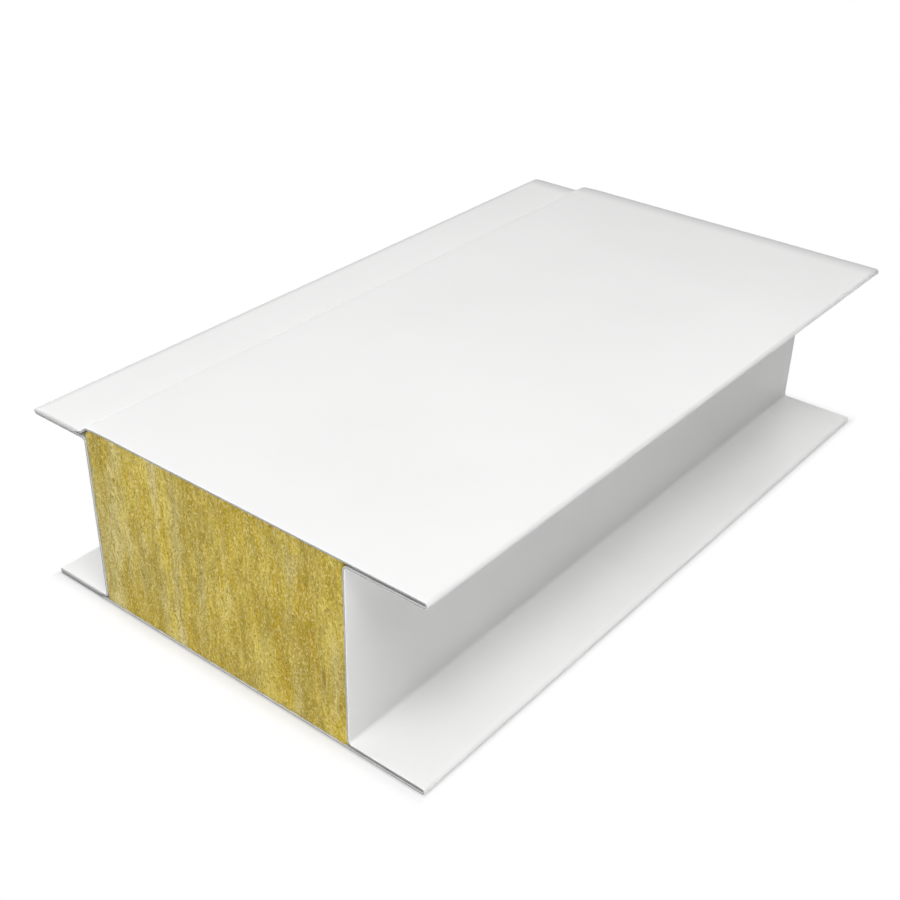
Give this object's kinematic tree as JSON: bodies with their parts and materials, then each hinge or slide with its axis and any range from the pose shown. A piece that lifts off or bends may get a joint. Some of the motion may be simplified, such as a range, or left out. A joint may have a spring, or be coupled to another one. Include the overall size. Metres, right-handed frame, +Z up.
{
  "type": "cleanroom sandwich panel",
  "caption": "Short rock wool sandwich panel: folded white steel skins, open side grooves, hemmed flanges and a stepped lap flange.",
  "frame": {"origin": "centre of the bottom face, on the surface the panel lies on", "axes": "+X across the panel, away from the stepped lap flange; +Y along the panel; +Z up through its thickness"},
  "size_m": [0.119, 0.2, 0.05],
  "materials": {
    "painted_steel": "satin white coil coating, grey at the cut edges",
    "rock_wool": "matte yellow mineral fibre"
  },
  "bodies": {
    "root": {"top_skin": "painted_steel", "bottom_skin": "painted_steel", "rock_wool_core": "rock_wool"}
  },
  "joints": []
}
